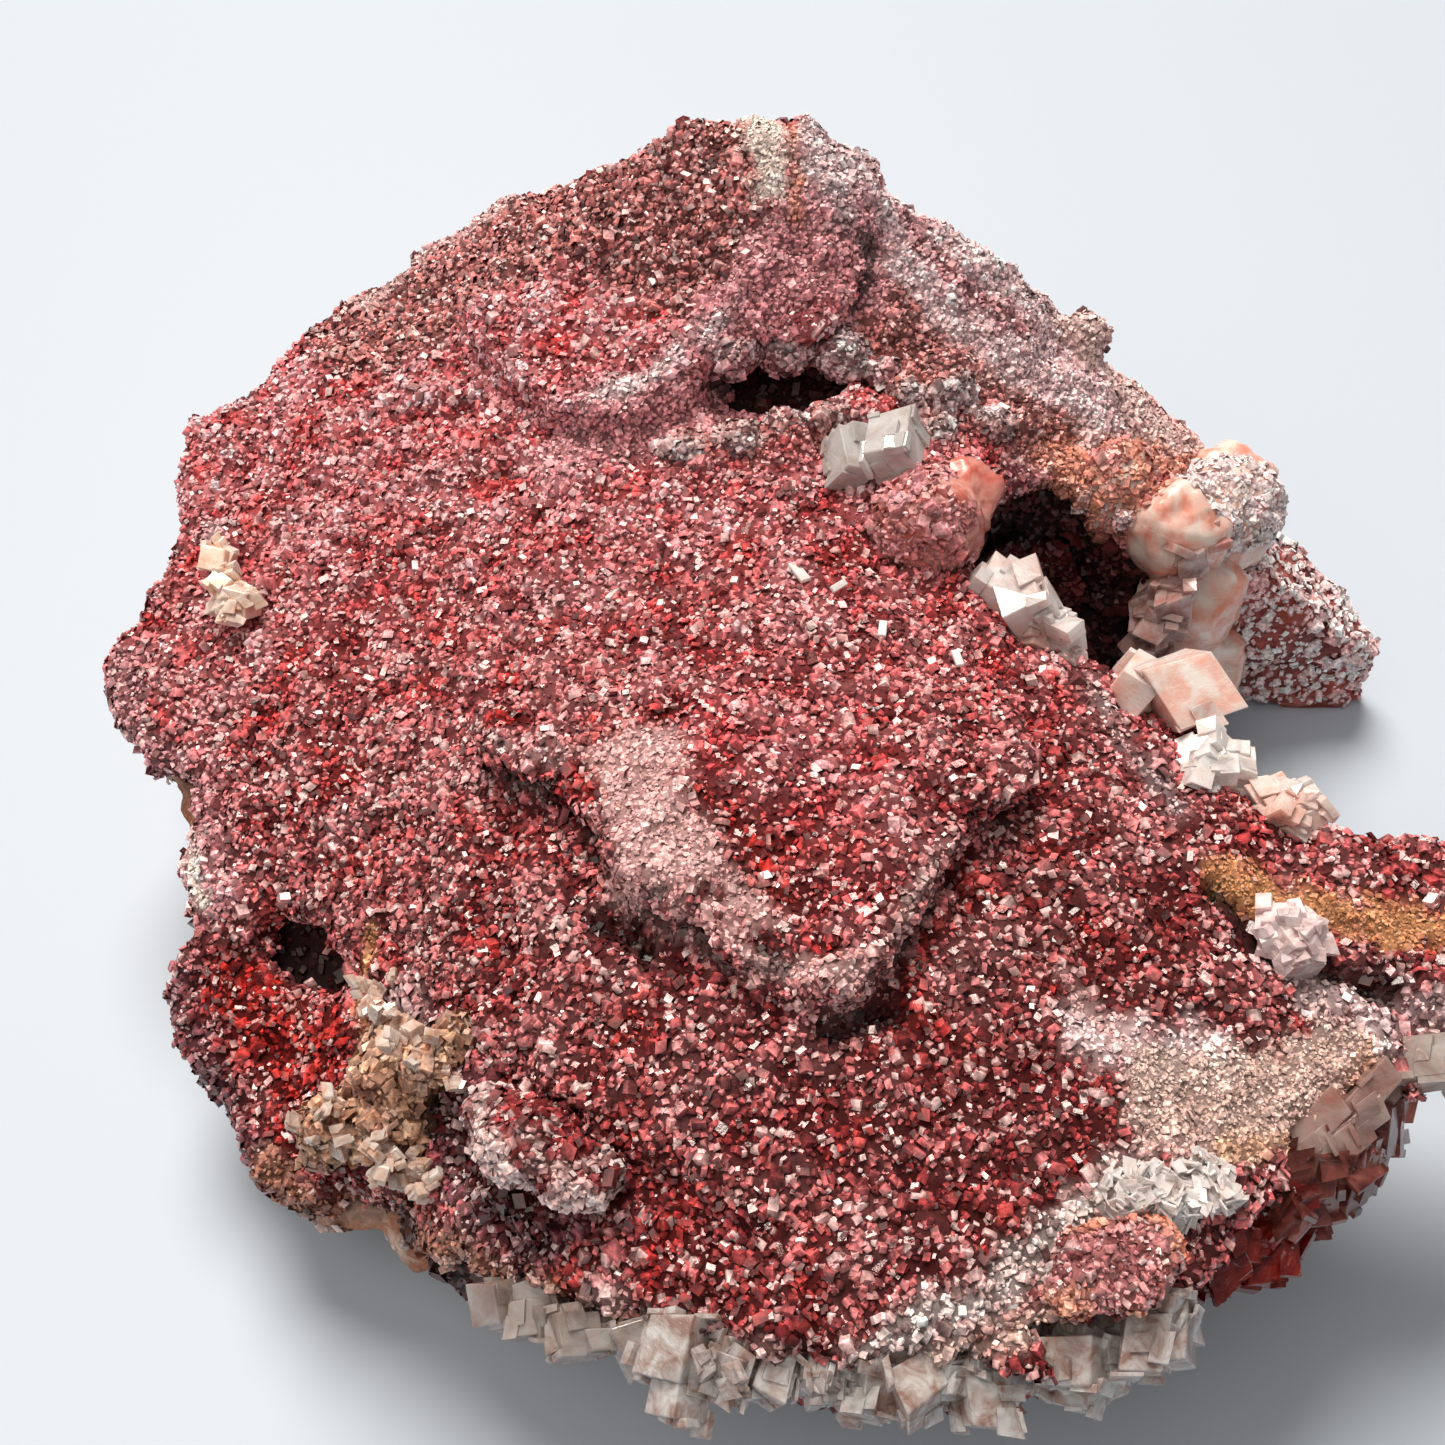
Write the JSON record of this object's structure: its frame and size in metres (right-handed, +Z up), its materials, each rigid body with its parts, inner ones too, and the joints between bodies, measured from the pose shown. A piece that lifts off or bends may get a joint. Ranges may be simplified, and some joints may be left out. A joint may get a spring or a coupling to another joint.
{
  "type": "calcite on matrix",
  "caption": "Loose rock specimen whose plate-like top carries a crust of small red calcite rhombs, with a hill, a cave, a raised flake and larger crystals around its edges",
  "frame": {"origin": "centre of the bounding box in plan, at the level of the surface that the specimen rests on", "axes": "+X to the right along the longest extent, +Y away from the viewer towards the hill, +Z up along the shortest extent"},
  "size_m": [0.1934, 0.1746, 0.0846],
  "materials": {
    "iron_stained_rock": "rough broken rock, stained tan, grey and rust by iron",
    "red_druse": "tiny glassy rhombs, deep red with frosted pink and mauve patches",
    "dark_druse": "dark red glassy small crystals",
    "orange_calcite": "translucent orange to pink, rounded and glossy",
    "pink_red_calcite": "translucent pink-red with a sugary surface",
    "pale_calcite": "translucent grey to beige-white, smooth cleavage faces",
    "pink_calcite": "translucent pale pink, smooth faces",
    "white_calcite": "white to clear, fresh cleavage with pearly steps",
    "frosted_calcite": "frosted mauve-pink, finely sugary",
    "red_clear_calcite": "clear brownish red, glassy smooth",
    "clear_calcite": "nearly clear, glassy smooth",
    "beige_calcite": "beige, sugary and partly clear"
  },
  "bodies": {
    "root": {"matrix": "iron_stained_rock", "red_druse_crust": "red_druse", "cave_crystal_lining": "dark_druse", "orange_pink_lobes": "orange_calcite", "round_pink_lobe": "pink_red_calcite", "pale_rhomb_pair": "pale_calcite", "cave_mouth_rhombs": "pale_calcite", "pink_block_rhomb": "pink_calcite", "white_block_cluster": "white_calcite", "pale_pink_blocks": "pink_calcite", "frosted_clump": "frosted_calcite", "red_bladed_rhombs": "red_clear_calcite", "white_cleaved_calcite": "white_calcite", "clear_front_rhombs": "clear_calcite", "arm_clear_rhombs": "clear_calcite", "left_pale_cluster": "pale_calcite", "pit_rim_knobs": "beige_calcite", "frosted_ledge": "frosted_calcite"}
  },
  "joints": []
}
